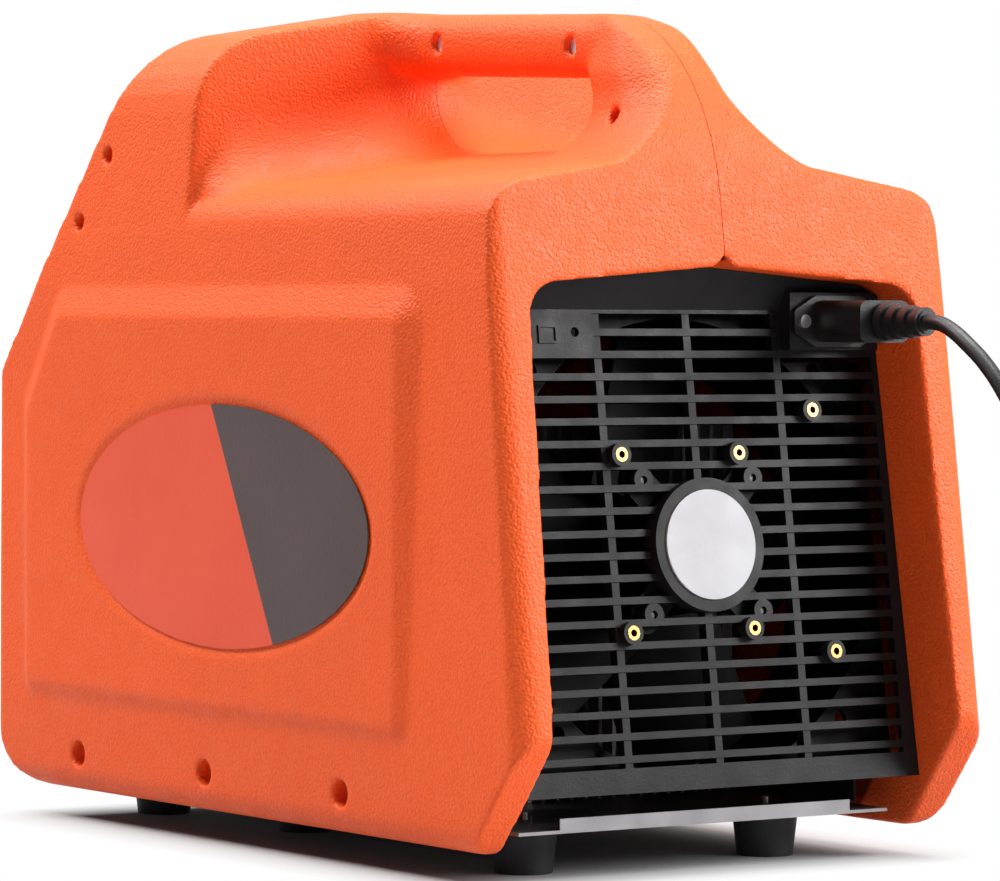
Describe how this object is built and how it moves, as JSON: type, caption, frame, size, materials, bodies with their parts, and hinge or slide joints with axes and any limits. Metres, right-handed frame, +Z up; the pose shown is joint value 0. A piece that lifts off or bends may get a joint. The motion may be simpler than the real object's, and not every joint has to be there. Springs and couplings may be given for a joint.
{
  "type": "refrigerant recovery machine",
  "caption": "Portable refrigerant recovery machine: two-part moulded case with carrying handle, recessed fan grille with power inlet, control end with gauges and valves, compressor inside.",
  "frame": {"origin": "on the floor under the middle of the case", "axes": "+X across the case, +Y towards the fan end, +Z up"},
  "size_m": [0.3517, 0.655, 0.3957],
  "materials": {
    "shell": "fine pebbled orange moulding",
    "steel": "bright zinc plated",
    "label": "smooth printed film",
    "grille": "satin black moulding",
    "white": "smooth white",
    "brass": "turned",
    "motor": "satin black paint",
    "black": "satin black",
    "cord": "dull black rubber",
    "plate": "zinc plated sheet",
    "lens": "clear",
    "red": "smooth red",
    "blue": "smooth blue",
    "cast": "as cast and machined",
    "copper": "drawn copper"
  },
  "bodies": {
    "machine": {"left_shell": "shell", "right_shell": "shell", "shell_screws": "steel", "side_label": "label", "rear_grille": "grille", "hub_disc": "white", "brass_inserts": "brass", "fan_shroud": "grille", "shroud_screws": "steel", "fan_motor": "motor", "motor_screws": "steel", "power_inlet": "black", "inlet_pins": "brass", "inlet_screws": "steel", "cord_connector": "cord", "power_cord": "cord", "cord_coil": "cord", "mains_plug": "cord", "plug_pins": "steel", "base_plate": "plate", "feet": "cord", "foot_screws": "steel", "front_panel": "grille", "gauge_cases": "black", "gauge_dials": "white", "gauge_lenses": "lens", "valve_block": "cast", "inlet_port": "brass", "outlet_port": "brass", "switch_frame": "black", "breaker_body": "black", "crankcase": "cast", "cylinders": "cast", "cylinder_heads": "cast", "compressor_motor": "motor", "compressor_tray": "steel", "rubber_mounts": "cord", "condenser_core": "cast", "condenser_tubes": "copper", "suction_line": "copper", "discharge_line": "copper", "condenser_line": "copper", "capacitor": "white", "capacitor_clamp": "steel", "pressure_switch": "black"},
    "fan": {"fan_rotor": "black", "fan_shaft": "steel"},
    "mode_knob": {"mode_knob": "black"},
    "inlet_knob": {"inlet_knob": "blue"},
    "outlet_knob": {"outlet_knob": "red"},
    "rocker": {"rocker_switch": "red"},
    "reset_button": {"reset_button": "red"},
    "low_needle": {"low_needle": "black"},
    "high_needle": {"high_needle": "red"}
  },
  "joints": [
    {"name": "fan_spin", "type": "hinge", "parent": "machine", "child": "fan", "pos_m": [0, 0.1873, 0.146], "axis": [0, 0.9903, 0.1392], "continuous": true},
    {"name": "mode_turn", "type": "hinge", "parent": "machine", "child": "mode_knob", "pos_m": [0, -0.193, 0.1595], "axis": [0, 1, 0], "range_deg": [0, 180]},
    {"name": "inlet_valve_turn", "type": "hinge", "parent": "machine", "child": "inlet_knob", "pos_m": [-0.062, -0.193, 0.1375], "axis": [0, 1, 0], "range_deg": [0, 90]},
    {"name": "outlet_valve_turn", "type": "hinge", "parent": "machine", "child": "outlet_knob", "pos_m": [0.062, -0.193, 0.1375], "axis": [0, 1, 0], "range_deg": [0, 90]},
    {"name": "power_rocker", "type": "hinge", "parent": "machine", "child": "rocker", "pos_m": [-0.046, -0.19159, 0.25289], "axis": [1, 0, 0], "range_deg": [-18, 0]},
    {"name": "breaker_reset", "type": "slide", "parent": "machine", "child": "reset_button", "axis": [0, 0.7965, -0.6046], "range_m": [0, 0.003], "stiffness_N_per_m": 200},
    {"name": "low_gauge_swing", "type": "hinge", "parent": "machine", "child": "low_needle", "pos_m": [-0.044, -0.14563, 0.31593], "axis": [0, 0.7965, -0.6046], "range_deg": [0, 270]},
    {"name": "high_gauge_swing", "type": "hinge", "parent": "machine", "child": "high_needle", "pos_m": [0.044, -0.14563, 0.31593], "axis": [0, 0.7965, -0.6046], "range_deg": [0, 270]}
  ]
}
